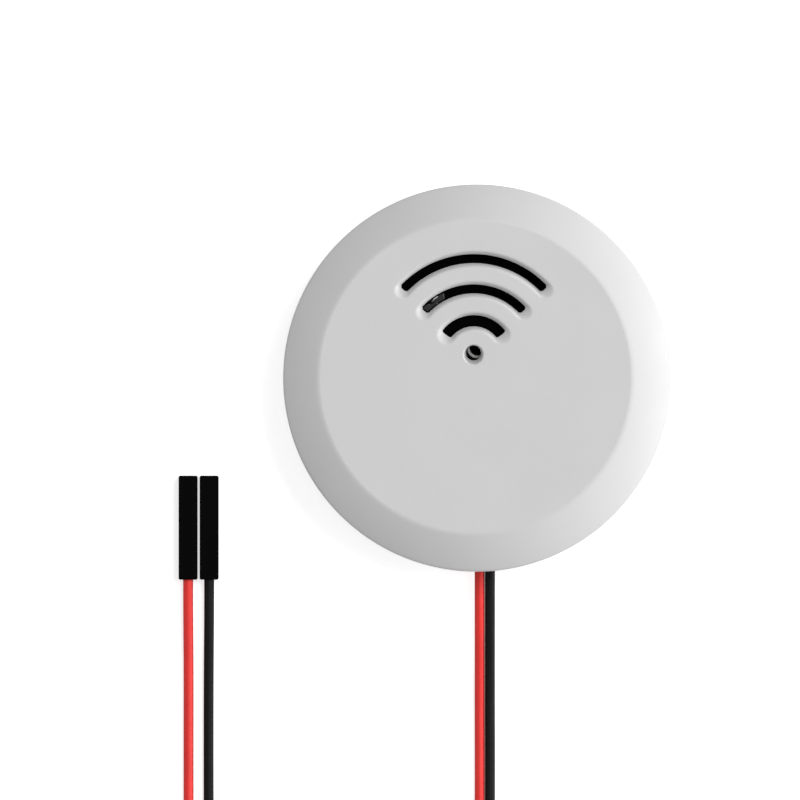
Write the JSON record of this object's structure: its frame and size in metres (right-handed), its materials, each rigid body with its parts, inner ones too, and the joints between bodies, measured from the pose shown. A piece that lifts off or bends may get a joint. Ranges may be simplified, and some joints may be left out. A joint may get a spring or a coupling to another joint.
{
  "type": "aquarium water level alarm",
  "caption": "Round battery water level alarm with a slotted sounder face and thin sensing leads ending in single-pin sockets.",
  "frame": {"origin": "centre of the round housing's back, on the surface that it lies on", "axes": "+Z leaves the face with the sound slots, +Y points to the top of the slots, the leads leave towards -Y"},
  "size_m": [0.0661, 0.1224, 0.016],
  "materials": {
    "housing_white": "fine moulded texture, slightly satin",
    "door_white": "fine moulded texture",
    "seal_rubber": "smooth rubber",
    "grommet_rubber": "soft white rubber",
    "screw_steel": "zinc plated",
    "cell_steel": "nickel plated can",
    "contact_metal": "nickel plated spring strip",
    "board_black": "black solder mask over glass fibre",
    "part_black": "moulded black resin",
    "sleeve_black": "shrink sleeve",
    "sounder_brass": "plain brass disc",
    "tin_metal": "tinned",
    "led_white": "clear resin",
    "chip_brown": "fired ceramic",
    "red_insulation": "smooth soft insulation",
    "black_insulation": "smooth soft insulation",
    "socket_black": "moulded nylon",
    "tie_black": "flat plastic tie"
  },
  "bodies": {
    "main_unit": {"front_cover": "housing_white", "rear_case": "housing_white", "case_gasket": "seal_rubber", "case_screws": "screw_steel", "coin_cell": "cell_steel", "positive_contact": "contact_metal", "negative_contact": "contact_metal", "circuit_board": "board_black", "board_screws": "screw_steel", "sounder_housing": "part_black", "sounder_base": "part_black", "sounder_disc": "sounder_brass", "sounder_pins": "tin_metal", "driver_coil": "sleeve_black", "radio_board": "board_black", "radio_shield": "tin_metal", "pair_switch_body": "part_black", "status_led": "led_white", "level_chip": "part_black", "drive_transistor": "part_black", "chip_resistors": "part_black", "chip_capacitors": "chip_brown", "solder_joints": "tin_metal", "lead_grommet": "grommet_rubber", "coil_ties": "tie_black", "red_lead_inner": "red_insulation", "red_lead_start": "red_insulation", "red_lead_coil": "red_insulation", "red_lead_end": "red_insulation", "red_socket_housing": "socket_black", "red_socket_contact": "contact_metal", "black_lead_inner": "black_insulation", "black_lead_start": "black_insulation", "black_lead_coil": "black_insulation", "black_lead_end": "black_insulation", "black_socket_housing": "socket_black", "black_socket_contact": "contact_metal"},
    "door_seal_ring": {"door_seal": "seal_rubber"},
    "door": {"battery_door": "door_white"},
    "pair_plunger": {"pair_switch_plunger": "part_black"}
  },
  "joints": [
    {"name": "door_lift", "type": "slide", "parent": "main_unit", "child": "door_seal_ring", "axis": [0, 0, -1], "range_m": [0, 0.002]},
    {"name": "door_turn", "type": "hinge", "parent": "door_seal_ring", "child": "door", "pos_m": [0, 0, 0], "axis": [0, 0, -1], "range_deg": [0, 60]},
    {"name": "pair_press", "type": "slide", "parent": "main_unit", "child": "pair_plunger", "axis": [0, 0, 1], "range_m": [0, 0.00025], "stiffness_N_per_m": 2000, "springref_m": -0.0005}
  ],
  "couplings": [
    {"joint": "door_turn", "follows": "door_lift", "rad_per_m": 523.59}
  ]
}
